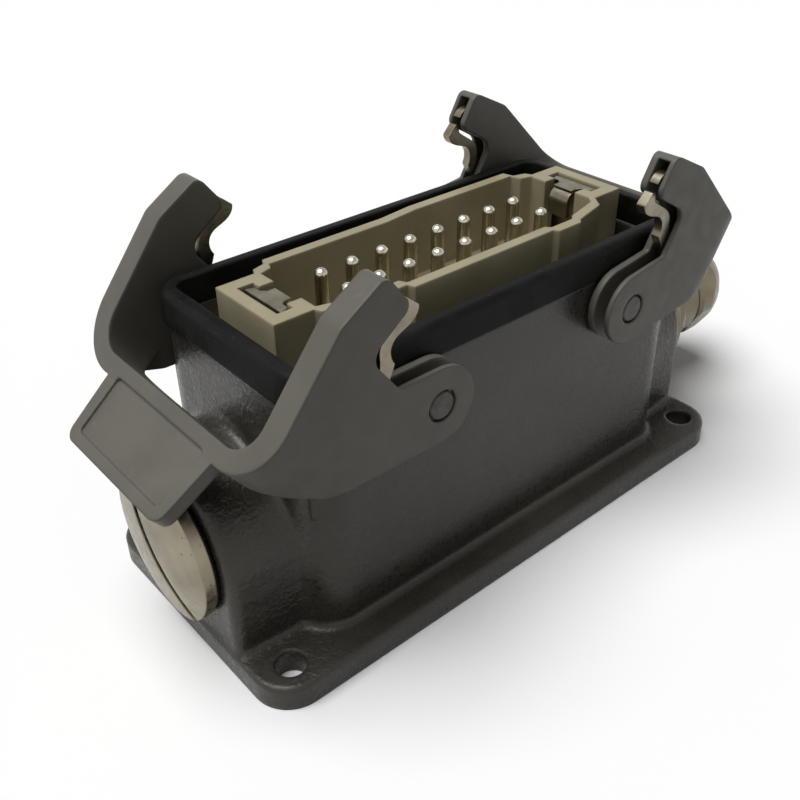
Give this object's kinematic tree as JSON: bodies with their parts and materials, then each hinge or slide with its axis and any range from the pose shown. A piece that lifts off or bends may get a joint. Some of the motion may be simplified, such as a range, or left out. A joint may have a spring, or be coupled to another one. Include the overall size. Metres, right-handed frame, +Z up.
{
  "type": "heavy duty rectangular connector",
  "caption": "Surface-mounting industrial connector housing with male contact insert, two locking levers, blanking plug and cable gland.",
  "frame": {"origin": "centre of the base's four screw holes on its underside", "axes": "+X along the connector towards the cable gland, -Y towards the front, +Z up to the mating side"},
  "size_m": [0.153, 0.056, 0.0708],
  "materials": {
    "housing_coat": "powder coat on die-cast aluminium, glossy, slightly wrinkled",
    "seal_rubber": "moulded rubber, satin",
    "insert_plastic": "glass-filled plastic, matt",
    "contact_silver": "silver plate, polished",
    "screw_steel": "zinc plate",
    "spring_steel": "stainless sheet",
    "lever_plastic": "moulded plastic, satin",
    "pin_steel": "ground steel",
    "nickel_plate": "nickel-plated brass",
    "clamp_plastic": "moulded plastic"
  },
  "bodies": {
    "housing_body": {"housing": "housing_coat", "seal_gasket": "seal_rubber", "insert_body": "insert_plastic", "contact_pins": "contact_silver", "terminal_screws": "screw_steel", "insert_screws": "screw_steel", "earth_screws": "screw_steel", "earth_plate_left": "spring_steel", "earth_plate_right": "spring_steel", "pivot_pin_left_near": "pin_steel", "pivot_pin_left_far": "pin_steel", "pivot_pin_right_near": "pin_steel", "pivot_pin_right_far": "pin_steel", "blanking_plug": "nickel_plate", "plug_o_ring": "seal_rubber", "gland_body": "nickel_plate", "gland_o_ring": "seal_rubber", "gland_nut": "nickel_plate", "gland_clamp": "clamp_plastic", "gland_seal": "seal_rubber"},
    "lever_left_body": {"lever_left": "lever_plastic", "latch_spring_left_near": "spring_steel", "latch_spring_left_far": "spring_steel"},
    "lever_right_body": {"lever_right": "lever_plastic", "latch_spring_right_near": "spring_steel", "latch_spring_right_far": "spring_steel"}
  },
  "joints": [
    {"name": "lever_left_hinge", "type": "hinge", "parent": "housing_body", "child": "lever_left_body", "pos_m": [-0.0233, 0, 0.0445], "axis": [0, -1, 0], "range_deg": [-37, 3]},
    {"name": "lever_right_hinge", "type": "hinge", "parent": "housing_body", "child": "lever_right_body", "pos_m": [0.0233, 0, 0.0445], "axis": [0, 1, 0], "range_deg": [-30.3, 9.7]}
  ]
}
